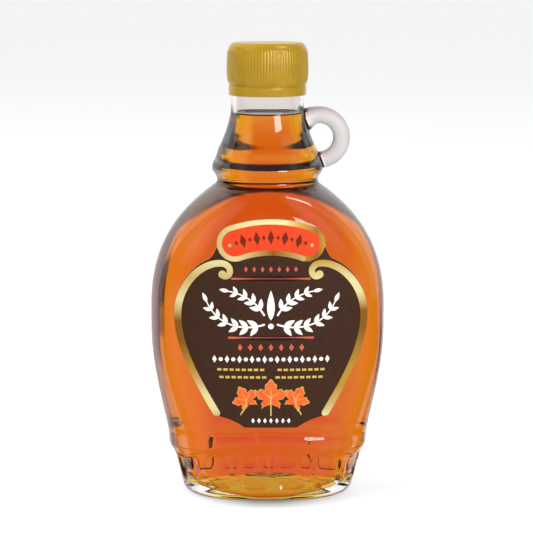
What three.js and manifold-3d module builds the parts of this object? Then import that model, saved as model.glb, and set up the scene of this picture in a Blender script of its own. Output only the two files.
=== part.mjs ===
// Glass flask of syrup with a finger ring at its neck, a screw cap and a paper label.
// Millimetres, +Z up. The origin is the centre of the foot, the label faces -Y and the ring is on +X.
import * as THREE from 'three';
import { mergeVertices } from 'three/addons/utils/BufferGeometryUtils.js';
import Module from 'manifold-3d';

const wasm = await Module();
wasm.setup();

// Overall sizes of the flask
const HEIGHT = 161;
const BELLY_WIDTH = 42;
const PANEL_DEPTH = 24.2;
const BELLY_LOW = 59;
const BELLY_HIGH = 67;
const BODY_SQUARENESS = 2.6;
const CLEARANCE = 0.3;

// Foot and fluted band
const HEEL = 2.6;
const HEEL_FRONT = 1;
const FOOT_WIDTH = 30.9;
const FOOT_DEPTH = 23.2;
const BAND_TOP = 14.4;
const FLUTES = 14;
const COLUMNS_PER_FLUTE = 4;
const FIRST_RIB = 1;
const FLUTE_LOW = 4.6;
const FLUTE_CUT = 1.2;

// Neck: root of the shoulder, bead, collar and straight finish
const ROOT_RADIUS = 19;
const ROOT_LEVEL = 110.8;
const BEAD_RADIUS = 19.95;
const BEAD_LEVEL = 116.8;
const COLLAR_RADIUS = 16.6;
const COLLAR_LEVEL = 125.4;
const NECK_RADIUS = 12.9;
const NECK_LEVEL = 140;
const MOUTH_LEVEL = 158.6;

// Inside of the glass
const FLOOR_LEVEL = 0.8;
const FLOOR_RISE = 5.8;
const FLOOR_FALL = 3.2;
const INNER_FOOT_WIDTH = 27.6;
const INNER_FOOT_DEPTH = 20.2;
const INNER_HEEL_WIDE = 6.5;
const INNER_HEEL_DEEP = 1;
const INNER_WIDTH = 38.4;
const INNER_DEPTH = 20.6;
const BORE_RADIUS = 11.4;
const FILL_LEVEL = 135.5;
const INNER_COLUMNS = 36;
const WALL_ROW = 10;

// Finger ring
const RING_CENTRE = [18.4, 127.4];
const RING_RADIUS = 8;
const RING_TUBE = 3;
const RING_FLARE = 0.35;

// Cap
const CAP_BOTTOM = 142.5;
const CAP_RADIUS = 14.5;
const CAP_BORE = NECK_RADIUS + CLEARANCE;
const CAP_CEILING = 159;
const CAP_RIBS = 60;
const CAP_RIB_CUT = 0.22;

// Label: an arched plaque on top of a shield
const LABEL_THICKNESS = 0.3;
const LABEL_SHIFT = 1.2;
const PLAQUE_TOP = 101;
const PLAQUE_HALF_HEIGHT = 6.25;
const PLAQUE_ARC_RADIUS = 37.2;
const PLAQUE_HALF_ANGLE = 0.345;
const SHIELD_TOP = 86.9;
const SHIELD_SHOULDER = 21.6;
const SHIELD_TIP = [19, 90.9];
const SHIELD_WIDTH = 34.1;
const SHIELD_WAIST = 66.5;
const SHIELD_FOOT = 20.4;
const SHIELD_FOOT_LEVEL = 31.2;
const TAB_WIDTH = 9.2;
const TAB_LEVEL = 27.1;

const v = (x, y) => new THREE.Vector2(x, y);
const line = (from, to) => new THREE.LineCurve(v(...from), v(...to));
const bezier = (a, b, c, d) => new THREE.CubicBezierCurve(v(...a), v(...b), v(...c), v(...d));
const heelArc = (x, y, r) => new THREE.EllipseCurve(x, y, r, r, -Math.PI / 2, 0);

// A stretch pairs the outline seen from the front with the one seen from the side, point by point.
// The half width or half depth is the first coordinate, the level the second.
const roundStretch = (curve, steps) => ({ wide: curve, deep: curve, steps, square: [2, 2] });

const neckStretch = (wide, deep, steps) => {
  return { wide: bezier(...wide), deep: bezier(...deep), steps, square: [2, 2] };
};

const bodyStretch = (wide, deep, steps, last = BODY_SQUARENESS) => {
  return { wide, deep, steps, square: [BODY_SQUARENESS, last] };
};

const ROOT = [ROOT_RADIUS, ROOT_LEVEL];
const BEAD_FOOT = [18.9, 114.6];
const BEAD = [BEAD_RADIUS, BEAD_LEVEL];
const COLLAR_FOOT = [18, 122.2];
const COLLAR = [COLLAR_RADIUS, COLLAR_LEVEL];
const NECK = [NECK_RADIUS, NECK_LEVEL];

// The neck is a little oval, so the same places reach less far to the front and back.
const ROOT_DEEP = [18.2, ROOT_LEVEL];
const BEAD_FOOT_DEEP = [17.9, 114.6];
const BEAD_DEEP = [18.7, BEAD_LEVEL];
const COLLAR_FOOT_DEEP = [16.5, 122.2];
const COLLAR_DEEP = [15.4, COLLAR_LEVEL];

const outerStretches = [
  bodyStretch(
    heelArc(FOOT_WIDTH - HEEL, HEEL, HEEL),
    heelArc(FOOT_DEPTH - HEEL_FRONT, HEEL_FRONT, HEEL_FRONT),
    3,
  ),
  bodyStretch(line([FOOT_WIDTH, HEEL], [34.2, BAND_TOP]), line([FOOT_DEPTH, HEEL_FRONT], [23.8, 18.4]), 5),
  bodyStretch(line([34.2, BAND_TOP], [35.8, 16.8]), line([23.8, 18.4], [25, 20.8]), 2),
  bodyStretch(line([35.8, 16.8], [35.95, 20.6]), line([25, 20.8], [25, 22.8]), 1),
  bodyStretch(line([35.95, 20.6], [36.2, 22.4]), line([25, 22.8], [PANEL_DEPTH, 24.4]), 1),
  bodyStretch(
    bezier([36.2, 22.4], [38.4, 33], [BELLY_WIDTH, 46], [BELLY_WIDTH, BELLY_LOW]),
    line([PANEL_DEPTH, 24.4], [PANEL_DEPTH, BELLY_LOW]),
    5,
  ),
  bodyStretch(
    line([BELLY_WIDTH, BELLY_LOW], [BELLY_WIDTH, BELLY_HIGH]),
    line([PANEL_DEPTH, BELLY_LOW], [PANEL_DEPTH, BELLY_HIGH]),
    1,
  ),
  bodyStretch(
    bezier([BELLY_WIDTH, BELLY_HIGH], [BELLY_WIDTH, 85], [36, 99], ROOT),
    bezier([PANEL_DEPTH, BELLY_HIGH], [PANEL_DEPTH, 85], [26.4, 104.4], ROOT_DEEP),
    9,
    2,
  ),
  neckStretch(
    [ROOT, [17.6, 111.8], [18, 113.4], BEAD_FOOT],
    [ROOT_DEEP, [16.7, 111.8], [17, 113.4], BEAD_FOOT_DEEP],
    3,
  ),
  neckStretch(
    [BEAD_FOOT, [19.6, 115.4], [BEAD_RADIUS, 116], BEAD],
    [BEAD_FOOT_DEEP, [18.5, 115.4], [18.7, 116], BEAD_DEEP],
    2,
  ),
  neckStretch(
    [BEAD, [BEAD_RADIUS, 118.6], [18.4, 120], COLLAR_FOOT],
    [BEAD_DEEP, [18.7, 117.5], [17, 120.9], COLLAR_FOOT_DEEP],
    3,
  ),
  neckStretch(
    [COLLAR_FOOT, [17.8, 123.6], [17.3, 124.2], COLLAR],
    [COLLAR_FOOT_DEEP, [16.2, 123.4], [15.75, 124.2], COLLAR_DEEP],
    2,
  ),
  neckStretch(
    [COLLAR, [15.2, 129], [13.1, 133.5], NECK],
    [COLLAR_DEEP, [14.4, 129], [12.8, 133.5], NECK],
    5,
  ),
  roundStretch(line(NECK, [NECK_RADIUS, MOUTH_LEVEL]), 1),
];

const HEEL_END_WIDE = [INNER_FOOT_WIDTH, FLOOR_LEVEL + FLOOR_RISE - FLOOR_FALL + INNER_HEEL_WIDE];
const HEEL_END_DEEP = [INNER_FOOT_DEPTH, FLOOR_LEVEL + INNER_HEEL_DEEP];

// Floor of the hollow: a low ridge from side to side that falls away to the front and back.
const floorCurve = (edge, fall) => {
  const top = FLOOR_LEVEL + FLOOR_RISE;
  return bezier([1, top], [0.38 * edge, top], [0.68 * edge, top - 0.75 * fall], [edge, top - fall]);
};

const wetStretches = [
  bodyStretch(
    floorCurve(INNER_FOOT_WIDTH - INNER_HEEL_WIDE, FLOOR_FALL),
    floorCurve(INNER_FOOT_DEPTH - INNER_HEEL_DEEP, FLOOR_RISE),
    4,
  ),
  bodyStretch(
    heelArc(INNER_FOOT_WIDTH - INNER_HEEL_WIDE, HEEL_END_WIDE[1], INNER_HEEL_WIDE),
    heelArc(INNER_FOOT_DEPTH - INNER_HEEL_DEEP, HEEL_END_DEEP[1], INNER_HEEL_DEEP),
    4,
  ),
  bodyStretch(
    bezier(HEEL_END_WIDE, [34.6, 33], [INNER_WIDTH, 46], [INNER_WIDTH, BELLY_LOW]),
    line(HEEL_END_DEEP, [INNER_DEPTH, BELLY_LOW]),
    4,
  ),
  bodyStretch(
    line([INNER_WIDTH, BELLY_LOW], [INNER_WIDTH, BELLY_HIGH]),
    line([INNER_DEPTH, BELLY_LOW], [INNER_DEPTH, BELLY_HIGH]),
    1,
  ),
  bodyStretch(
    bezier([INNER_WIDTH, BELLY_HIGH], [INNER_WIDTH, 83], [32.5, 96], [15.2, 107.5]),
    bezier([INNER_DEPTH, BELLY_HIGH], [INNER_DEPTH, 83], [22, 100], [15.2, 107.5]),
    7,
    2,
  ),
  roundStretch(bezier([15.2, 107.5], [14.4, 109], [14.6, 112], [15, 117]), 2),
  roundStretch(bezier([15, 117], [15.2, 124], [BORE_RADIUS, 127], [BORE_RADIUS, FILL_LEVEL]), 5),
];

const boreStretch = roundStretch(line([BORE_RADIUS, FILL_LEVEL], [BORE_RADIUS, HEIGHT]), 1);

// Rows from bottom to top, one for each sampled point of the stretches.
function rowsOf(stretches) {
  const rows = [];
  stretches.forEach((stretch, index) => {
    for (let i = index === 0 ? 0 : 1; i <= stretch.steps; i += 1) {
      const t = i / stretch.steps;
      const wide = stretch.wide.getPoint(t);
      const deep = stretch.deep.getPoint(t);
      const square = THREE.MathUtils.lerp(stretch.square[0], stretch.square[1], t * t);
      rows.push({ a: wide.x, b: deep.x, sideLevel: wide.y, frontLevel: deep.y, square });
    }
  });
  return rows;
}

// Point of a row at an angle counted from the front towards +X.
function ringPoint(row, angle, cut = 0) {
  const across = Math.abs(Math.sin(angle));
  const along = Math.abs(Math.cos(angle));
  const sum = Math.pow(across / row.a, row.square) + Math.pow(along / row.b, row.square);
  const radius = Math.max(Math.pow(sum, -1 / row.square) - cut, 0);
  const level = THREE.MathUtils.lerp(row.sideLevel, row.frontLevel, along * along);
  return new THREE.Vector3(radius * Math.sin(angle), -radius * Math.cos(angle), level);
}

// Angles that step evenly along the edge of a row, starting at the front.
function evenAngles(row, count) {
  const fine = 1440;
  const lengths = [0];
  let last = ringPoint(row, 0).setZ(0);
  for (let i = 1; i <= fine; i += 1) {
    const next = ringPoint(row, (2 * Math.PI * i) / fine).setZ(0);
    lengths.push(lengths[i - 1] + next.distanceTo(last));
    last = next;
  }
  const angles = [];
  let i = 0;
  for (let k = 0; k < count; k += 1) {
    const target = (lengths[fine] * k) / count;
    while (lengths[i + 1] < target) i += 1;
    const part = (target - lengths[i]) / (lengths[i + 1] - lengths[i]);
    angles.push((2 * Math.PI * (i + part)) / fine);
  }
  return angles;
}

// Turned solid whose round rings are drawn out to the rows; cutAt gives a local inward cut.
function ringSolid(rows, angles, cutAt = () => 0) {
  const bottom = { ...rows[0], a: 0, b: 0 };
  const top = { ...rows[rows.length - 1], a: 0, b: 0 };
  const all = [bottom, ...rows, top];
  const outline = all.map((row, index) => v(row.a, index));
  const geometry = new THREE.LatheGeometry(outline, angles.length);
  const position = geometry.getAttribute('position');
  for (let column = 0; column <= angles.length; column += 1) {
    const turn = column % angles.length;
    all.forEach((row, index) => {
      const onAxis = row.a === 0;
      const point = onAxis
        ? new THREE.Vector3(0, 0, row.sideLevel)
        : ringPoint(row, angles[turn], cutAt(row, turn));
      position.setXYZ(column * all.length + index, point.x, point.y, point.z);
    });
  }
  return geometry;
}

function toSolid(geometry) {
  const bare = geometry.clone();
  bare.deleteAttribute('normal');
  bare.deleteAttribute('uv');
  const merged = mergeVertices(bare, 1e-4);
  const vertProperties = new Float32Array(merged.getAttribute('position').array);
  const triVerts = new Uint32Array(merged.getIndex().array);
  return new wasm.Manifold(new wasm.Mesh({ numProp: 3, vertProperties, triVerts }));
}

function toGeometry(solid) {
  const mesh = solid.getMesh();
  const geometry = new THREE.BufferGeometry();
  geometry.setAttribute('position', new THREE.BufferAttribute(mesh.vertProperties, 3));
  geometry.setIndex(new THREE.BufferAttribute(mesh.triVerts, 1));
  geometry.computeVertexNormals();
  return geometry;
}

const outerRows = rowsOf(outerStretches);

// Thumb-shaped hollows round the foot band, with a rib between each two.
function fluteCut(row, column) {
  if (row.sideLevel < FLUTE_LOW || row.sideLevel > BAND_TOP) return 0;
  const fromRib = column + COLUMNS_PER_FLUTE - FIRST_RIB;
  const phase = (fromRib % COLUMNS_PER_FLUTE) / COLUMNS_PER_FLUTE;
  const across = Math.pow(Math.abs(2 * phase - 1) / 0.9, 3);
  const middle = (FLUTE_LOW + BAND_TOP) / 2;
  const upright = Math.pow(Math.abs(row.sideLevel - middle) / (BAND_TOP - middle), 4);
  return FLUTE_CUT * Math.sqrt(Math.max(0, 1 - across - upright));
}

// Finger ring: a torus whose tube swells where it runs into the neck.
function ringGeometry() {
  const geometry = new THREE.TorusGeometry(RING_RADIUS, RING_TUBE, 12, 28);
  const position = geometry.getAttribute('position');
  const point = new THREE.Vector3();
  for (let i = 0; i < position.count; i += 1) {
    point.fromBufferAttribute(position, i);
    const centre = v(point.x, point.y).setLength(RING_RADIUS);
    const turn = Math.abs(Math.atan2(point.y, point.x));
    const swell = 1 + RING_FLARE * THREE.MathUtils.smoothstep(turn, 1.6, 2.4);
    const x = centre.x + (point.x - centre.x) * swell;
    const y = centre.y + (point.y - centre.y) * swell;
    position.setXYZ(i, x, y, point.z * swell);
  }
  geometry.rotateX(Math.PI / 2);
  geometry.translate(RING_CENTRE[0], 0, RING_CENTRE[1]);
  return geometry;
}

function bottleGeometry() {
  const angles = evenAngles(outerRows[5], FLUTES * COLUMNS_PER_FLUTE);
  const innerRows = rowsOf([...wetStretches, boreStretch]);
  const innerAngles = evenAngles(innerRows[WALL_ROW], INNER_COLUMNS);
  const skin = toSolid(ringSolid(outerRows, angles, fluteCut));
  const hollow = toSolid(ringSolid(innerRows, innerAngles));
  return toGeometry(skin.add(toSolid(ringGeometry())).subtract(hollow));
}

// The syrup keeps a small clearance to the glass all round and ends flat at the fill level.
function syrupGeometry() {
  const rows = rowsOf(wetStretches);
  const shrunk = rows.map((row, index) => {
    const height = (row.sideLevel - FLOOR_LEVEL) / (ROOT_LEVEL - FLOOR_LEVEL);
    const rise = THREE.MathUtils.lerp(CLEARANCE, -CLEARANCE, height);
    const lift = index === rows.length - 1 ? 0 : rise;
    return {
      a: row.a - CLEARANCE,
      b: row.b - CLEARANCE,
      sideLevel: row.sideLevel + lift,
      frontLevel: row.frontLevel + lift,
      square: row.square,
    };
  });
  return ringSolid(shrunk, evenAngles(rows[WALL_ROW], INNER_COLUMNS));
}

// Cap: guard band, groove, flared skirt with fine ribs, rounded top edge; hollow over the neck.
function capGeometry() {
  const skirtLow = 147.6;
  const skirtHigh = 157;
  const outline = [
    [13.6, CAP_BOTTOM],
    [13.75, CAP_BOTTOM + 0.3],
    [13.85, CAP_BOTTOM + 2.8],
    [13.6, CAP_BOTTOM + 3.3],
    [13.6, CAP_BOTTOM + 3.7],
    [13.9, CAP_BOTTOM + 4],
    [CAP_RADIUS - 0.2, skirtLow],
    [CAP_RADIUS + 0.05, 151],
    [CAP_RADIUS - 0.2, skirtHigh],
    [CAP_RADIUS - 0.65, HEIGHT - 1.7],
    [CAP_RADIUS - 2.2, HEIGHT],
  ];
  const rows = outline.map(([r, z]) => ({ a: r, b: r, sideLevel: z, frontLevel: z, square: 2 }));
  const columns = CAP_RIBS * 2;
  const angles = Array.from({ length: columns }, (_, k) => (2 * Math.PI * k) / columns);
  const ribCut = (row, column) => {
    const ribbed = row.sideLevel >= skirtLow && row.sideLevel <= skirtHigh;
    return ribbed && column % 2 === 1 ? CAP_RIB_CUT : 0;
  };
  const height = CAP_CEILING - CAP_BOTTOM + 1;
  const bore = new THREE.CylinderGeometry(CAP_BORE, CAP_BORE, height, 48);
  bore.rotateX(Math.PI / 2);
  bore.translate(0, 0, CAP_CEILING - height / 2);
  return toGeometry(toSolid(ringSolid(rows, angles, ribCut)).subtract(toSolid(bore)));
}

// Depth of the flask's front at a place on the panel, read between the rows.
function panelDepth(x, z) {
  let below = null;
  for (const row of outerRows) {
    if (row.a <= Math.abs(x)) continue;
    const share = 1 - Math.pow(Math.abs(x) / row.a, row.square);
    const depth = row.b * Math.pow(share, 1 / row.square);
    const along = depth / Math.hypot(depth, x);
    const level = THREE.MathUtils.lerp(row.sideLevel, row.frontLevel, along * along);
    if (below && level >= z && below.level < z) {
      return THREE.MathUtils.mapLinear(z, below.level, level, below.depth, depth);
    }
    below = { level, depth };
  }
  return below.depth;
}

function plaqueShape() {
  const radius = PLAQUE_ARC_RADIUS;
  const half = PLAQUE_HALF_HEIGHT;
  const turn = PLAQUE_HALF_ANGLE;
  const up = Math.PI / 2;
  const centre = PLAQUE_TOP - half - radius;
  const endX = radius * Math.sin(turn);
  const endY = centre + radius * Math.cos(turn);
  const shape = new THREE.Shape();
  shape.absarc(0, centre, radius + half, up - turn, up + turn, false);
  shape.absarc(-endX, endY, half, up + turn, up + turn + Math.PI, false);
  shape.absarc(0, centre, radius - half, up + turn, up - turn, true);
  shape.absarc(endX, endY, half, up - turn - Math.PI, up - turn, false);
  return shape;
}

function shieldShape() {
  const shape = new THREE.Shape();
  shape.moveTo(-TAB_WIDTH, TAB_LEVEL);
  shape.lineTo(TAB_WIDTH, TAB_LEVEL);
  shape.quadraticCurveTo(14, 30.4, SHIELD_FOOT, SHIELD_FOOT_LEVEL);
  shape.bezierCurveTo(26, 42, SHIELD_WIDTH, 54, SHIELD_WIDTH, SHIELD_WAIST);
  shape.bezierCurveTo(SHIELD_WIDTH, 76, 27.6, 84.6, SHIELD_SHOULDER, SHIELD_TOP);
  shape.lineTo(...SHIELD_TIP);
  shape.lineTo(-SHIELD_TIP[0], SHIELD_TIP[1]);
  shape.lineTo(-SHIELD_SHOULDER, SHIELD_TOP);
  shape.bezierCurveTo(-27.6, 84.6, -SHIELD_WIDTH, 76, -SHIELD_WIDTH, SHIELD_WAIST);
  shape.bezierCurveTo(-SHIELD_WIDTH, 54, -26, 42, -SHIELD_FOOT, SHIELD_FOOT_LEVEL);
  shape.quadraticCurveTo(-14, 30.4, -TAB_WIDTH, TAB_LEVEL);
  return shape;
}

function labelPrism(shape) {
  const prism = new THREE.ExtrudeGeometry(shape, { depth: 40, bevelEnabled: false, curveSegments: 8 });
  prism.rotateX(Math.PI / 2);
  prism.translate(LABEL_SHIFT, 0, 0);
  return toSolid(prism);
}

// Label: a thin sheet bent over the panel and trimmed to the plaque and the shield.
function labelGeometry() {
  const low = TAB_LEVEL - 1;
  const high = PLAQUE_TOP + 1;
  const sheet = new THREE.BoxGeometry(2 * SHIELD_WIDTH + 2, LABEL_THICKNESS, high - low, 20, 1, 12);
  sheet.translate(LABEL_SHIFT, 0, (low + high) / 2);
  const position = sheet.getAttribute('position');
  for (let i = 0; i < position.count; i += 1) {
    const depth = panelDepth(position.getX(i), position.getZ(i));
    position.setY(i, position.getY(i) - depth - CLEARANCE - LABEL_THICKNESS / 2);
  }
  const outline = labelPrism(plaqueShape()).add(labelPrism(shieldShape()));
  return toGeometry(toSolid(sheet).intersect(outline));
}

function part(name, geometry, look) {
  const mesh = new THREE.Mesh(geometry, new THREE.MeshStandardMaterial(look));
  mesh.name = name;
  return mesh;
}

const flask = new THREE.Group();
flask.add(
  part('glass_bottle', bottleGeometry(), {
    color: 0xe9e6e4,
    roughness: 0.05,
    metalness: 0,
    transparent: true,
    opacity: 0.35,
  }),
  part('syrup', syrupGeometry(), { color: 0xc4601a, roughness: 0.1, metalness: 0 }),
  part('cap', capGeometry(), { color: 0xb28e2c, roughness: 0.4, metalness: 0.1 }),
  part('label', labelGeometry(), { color: 0x462d20, roughness: 0.5, metalness: 0 }),
);

export default flask;
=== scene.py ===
import math

import bmesh
import bpy
import numpy as np
from mathutils import Matrix, Vector
from mathutils.geometry import delaunay_2d_cdt
from mathutils.kdtree import KDTree


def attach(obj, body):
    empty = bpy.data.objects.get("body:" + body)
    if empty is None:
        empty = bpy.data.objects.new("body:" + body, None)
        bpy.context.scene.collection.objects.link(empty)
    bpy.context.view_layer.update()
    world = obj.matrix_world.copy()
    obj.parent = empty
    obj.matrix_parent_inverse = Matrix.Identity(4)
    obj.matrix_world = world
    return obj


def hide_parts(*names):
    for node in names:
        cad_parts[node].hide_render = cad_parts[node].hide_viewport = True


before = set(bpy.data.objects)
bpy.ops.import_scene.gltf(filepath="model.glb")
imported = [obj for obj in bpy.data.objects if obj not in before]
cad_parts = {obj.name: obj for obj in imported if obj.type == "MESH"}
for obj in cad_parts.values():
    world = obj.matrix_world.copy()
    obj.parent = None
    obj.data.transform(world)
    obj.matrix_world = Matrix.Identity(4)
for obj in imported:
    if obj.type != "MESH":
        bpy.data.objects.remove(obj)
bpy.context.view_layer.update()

MM = 0.001

# Sizes of the flask in millimetres, the same as in the part's source.
HEIGHT = 161.0
BELLY = 42.0
PANEL = 24.2
BELLY_LOW, BELLY_HIGH = 59.0, 67.0
SQUARE, ROUND = 2.6, 2.0
HEEL, HEEL_FRONT = 2.6, 1.0
FOOT_W, FOOT_D = 30.9, 23.2
BAND_TOP = 14.4
FLUTES, FLUTE_COLUMNS, FIRST_RIB = 14, 21, 3
FLUTE_LOW, FLUTE_CUT = 4.6, 1.2
ROOT_R, ROOT_Z = 19.0, 110.8
BEAD_R, BEAD_Z = 19.95, 116.8
COLLAR_R, COLLAR_Z = 16.6, 125.4
NECK_R, NECK_Z, MOUTH_Z = 12.9, 140.0, 158.6
FLOOR_Z, FLOOR_RISE, FLOOR_FALL = 0.8, 5.8, 3.2
INNER_FOOT_W, INNER_FOOT_D = 27.6, 20.2
INNER_HEEL_W, INNER_HEEL_D = 6.5, 1.0
INNER_W, INNER_D = 38.4, 20.6
BORE_R, FILL_Z = 11.4, 135.5
RING_X, RING_Z, RING_R, RING_TUBE, RING_FLARE = 18.4, 127.4, 8.0, 3.0, 0.35
CAP_Z, CAP_R, CAP_BORE, CAP_CEILING = 142.5, 14.5, 13.2, 159.0
CAP_RIBS, CAP_RIB_CUT = 84, 0.12


# Outlines
def line(p, q, n=24):
    t = np.linspace(0, 1, n + 1)[:, None]
    return (1 - t) * np.array(p, float) + t * np.array(q, float)


def bezier(p0, p1, p2, p3, n=48):
    t = np.linspace(0, 1, n + 1)[:, None]
    p0, p1, p2, p3 = (np.array(p, float) for p in (p0, p1, p2, p3))
    return (1 - t) ** 3 * p0 + 3 * (1 - t) ** 2 * t * p1 + 3 * (1 - t) * t * t * p2 + t ** 3 * p3


def heel_arc(x, z, r, n=16):
    t = np.linspace(-math.pi / 2, 0, n + 1)
    return np.c_[x + r * np.cos(t), z + r * np.sin(t)]


def body(wide, deep, last=SQUARE):
    """Rows of the flask, whose squareness can run to another value at the end."""
    t = np.linspace(0, 1, len(wide)) ** 2
    return np.c_[wide, deep, SQUARE + (last - SQUARE) * t]


def turned(curve):
    """Rows that are round, as a lathe makes them."""
    return np.c_[curve, curve, np.full(len(curve), ROUND)]


def neck(wide, deep):
    """Rows of the neck, which is a little wider than deep."""
    wide, deep = bezier(*wide), bezier(*deep)
    return np.c_[wide, deep, np.full(len(wide), ROUND)]


def joined(stretches):
    """One curve of stretches that each begin where the last one ends."""
    return np.concatenate([stretches[0]] + [s[1:] for s in stretches[1:]])


# Each row holds half width, level at the side, half depth, level at the front, squareness.
def outer_rows():
    root, bead_foot, bead = (ROOT_R, ROOT_Z), (18.9, 114.6), (BEAD_R, BEAD_Z)
    collar_foot, collar, top = (18, 122.2), (COLLAR_R, COLLAR_Z), (NECK_R, NECK_Z)
    deep_root, deep_bead_foot, deep_bead = (18.2, ROOT_Z), (17.9, 114.6), (18.7, BEAD_Z)
    deep_collar_foot, deep_collar = (16.5, 122.2), (15.4, COLLAR_Z)
    return joined([
        body(heel_arc(FOOT_W - HEEL, HEEL, HEEL), heel_arc(FOOT_D - HEEL_FRONT, HEEL_FRONT, HEEL_FRONT)),
        body(line((FOOT_W, HEEL), (34.2, BAND_TOP)), line((FOOT_D, HEEL_FRONT), (23.8, 18.4))),
        body(line((34.2, BAND_TOP), (35.8, 16.8)), line((23.8, 18.4), (25.0, 20.8))),
        body(line((35.8, 16.8), (35.95, 20.6)), line((25.0, 20.8), (25.0, 22.8))),
        body(line((35.95, 20.6), (36.2, 22.4)), line((25.0, 22.8), (PANEL, 24.4))),
        body(bezier((36.2, 22.4), (38.4, 33), (BELLY, 46), (BELLY, BELLY_LOW)),
             line((PANEL, 24.4), (PANEL, BELLY_LOW), 48)),
        body(line((BELLY, BELLY_LOW), (BELLY, BELLY_HIGH)),
             line((PANEL, BELLY_LOW), (PANEL, BELLY_HIGH))),
        body(bezier((BELLY, BELLY_HIGH), (BELLY, 85), (36, 99), root),
             bezier((PANEL, BELLY_HIGH), (PANEL, 85), (26.4, 104.4), deep_root), ROUND),
        neck((root, (17.6, 111.8), (18, 113.4), bead_foot),
             (deep_root, (16.7, 111.8), (17, 113.4), deep_bead_foot)),
        neck((bead_foot, (19.6, 115.4), (BEAD_R, 116), bead),
             (deep_bead_foot, (18.5, 115.4), (18.7, 116), deep_bead)),
        neck((bead, (BEAD_R, 118.6), (18.4, 120), collar_foot),
             (deep_bead, (18.7, 117.5), (17, 120.9), deep_collar_foot)),
        neck((collar_foot, (17.8, 123.6), (17.3, 124.2), collar),
             (deep_collar_foot, (16.2, 123.4), (15.75, 124.2), deep_collar)),
        neck((collar, (15.2, 129), (13.1, 133.5), top),
             (deep_collar, (14.4, 129), (12.8, 133.5), top)),
        turned(line(top, (NECK_R, MOUTH_Z))),
    ])


def floor_curve(edge, fall):
    """Floor of the hollow, falling from the middle to its edge."""
    top = FLOOR_Z + FLOOR_RISE
    return bezier((1, top), (edge * 0.38, top), (edge * 0.68, top - fall * 0.75), (edge, top - fall))


def wet_rows():
    wide_end = (INNER_FOOT_W, FLOOR_Z + FLOOR_RISE - FLOOR_FALL + INNER_HEEL_W)
    deep_end = (INNER_FOOT_D, FLOOR_Z + INNER_HEEL_D)
    return joined([
        body(floor_curve(INNER_FOOT_W - INNER_HEEL_W, FLOOR_FALL),
             floor_curve(INNER_FOOT_D - INNER_HEEL_D, FLOOR_RISE)),
        body(heel_arc(INNER_FOOT_W - INNER_HEEL_W, wide_end[1], INNER_HEEL_W),
             heel_arc(INNER_FOOT_D - INNER_HEEL_D, deep_end[1], INNER_HEEL_D)),
        body(bezier(wide_end, (34.6, 33), (INNER_W, 46), (INNER_W, BELLY_LOW)),
             line(deep_end, (INNER_D, BELLY_LOW), 48)),
        body(line((INNER_W, BELLY_LOW), (INNER_W, BELLY_HIGH)),
             line((INNER_D, BELLY_LOW), (INNER_D, BELLY_HIGH))),
        body(bezier((INNER_W, BELLY_HIGH), (INNER_W, 83), (32.5, 96), (15.2, 107.5)),
             bezier((INNER_D, BELLY_HIGH), (INNER_D, 83), (22, 100), (15.2, 107.5)), ROUND),
        turned(bezier((15.2, 107.5), (14.4, 109), (14.6, 112), (15, 117))),
        turned(bezier((15, 117), (15.2, 124), (BORE_R, 127), (BORE_R, FILL_Z))),
    ])


def resampled(rows, step_at, soften_at):
    """Rows at even steps along the outline, with its corners softened over a short length."""
    fine_step = 0.1
    length = np.r_[0, np.cumsum(np.linalg.norm(np.diff(rows[:, :4], axis=0), axis=1) / math.sqrt(2))]
    fine = np.arange(0, length[-1], fine_step)
    smooth = np.stack([np.interp(fine, length, rows[:, k]) for k in range(5)], axis=1)
    reach = 40
    first, last = smooth[0], smooth[-1]
    before, after = 2 * first - smooth[reach:0:-1], 2 * last - smooth[-2:-reach - 2:-1]
    padded = np.concatenate([before, smooth, after])
    away = np.arange(-reach, reach + 1) * fine_step
    width = np.array([soften_at(z) for z in smooth[:, 1]])[:, None]
    kernel = np.exp(-0.5 * (away[None] / width) ** 2)
    kernel /= kernel.sum(axis=1)[:, None]
    around = np.arange(len(smooth))[:, None] + np.arange(2 * reach + 1)[None]
    smooth = (padded[around] * kernel[:, :, None]).sum(axis=1)
    smooth[0], smooth[-1] = first, last
    keep = [0]
    at = 0.0
    while True:
        at += step_at(smooth[min(int(at / fine_step), len(smooth) - 1), 1])
        index = int(round(at / fine_step))
        if index >= len(smooth) - 3:
            break
        keep.append(index)
    keep.append(len(smooth) - 1)
    return smooth[keep]


def ring_points(rows, angles, cut=None):
    """Points of every row at every angle, counted from the front towards +X."""
    a, zs, b, zf, n = (rows[:, k][:, None] for k in range(5))
    across, along = np.abs(np.sin(angles))[None], np.abs(np.cos(angles))[None]
    reach = ((across / a) ** n + (along / b) ** n) ** (-1 / n)
    if cut is not None:
        reach = reach - cut
    level = zs + (zf - zs) * along ** 2
    return np.stack([reach * np.sin(angles), -reach * np.cos(angles), level], axis=2)


def even_angles(row, count):
    """Angles that part a row's outline into stretches of one length."""
    fine = np.linspace(0, 2 * math.pi, 2881)
    points = ring_points(row[None], fine)[0, :, :2]
    length = np.r_[0, np.cumsum(np.linalg.norm(np.diff(points, axis=0), axis=1))]
    return np.interp(np.arange(count) * length[-1] / count, length, fine)


# Meshes
def mesh_object(name, points, faces):
    mesh = bpy.data.meshes.new(name)
    mesh.from_pydata([tuple(p) for p in np.asarray(points) * MM], [], faces)
    mesh.update()
    mesh.polygons.foreach_set("use_smooth", np.ones(len(mesh.polygons), bool))
    obj = bpy.data.objects.new(name, mesh)
    bpy.context.scene.collection.objects.link(obj)
    return obj


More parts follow.
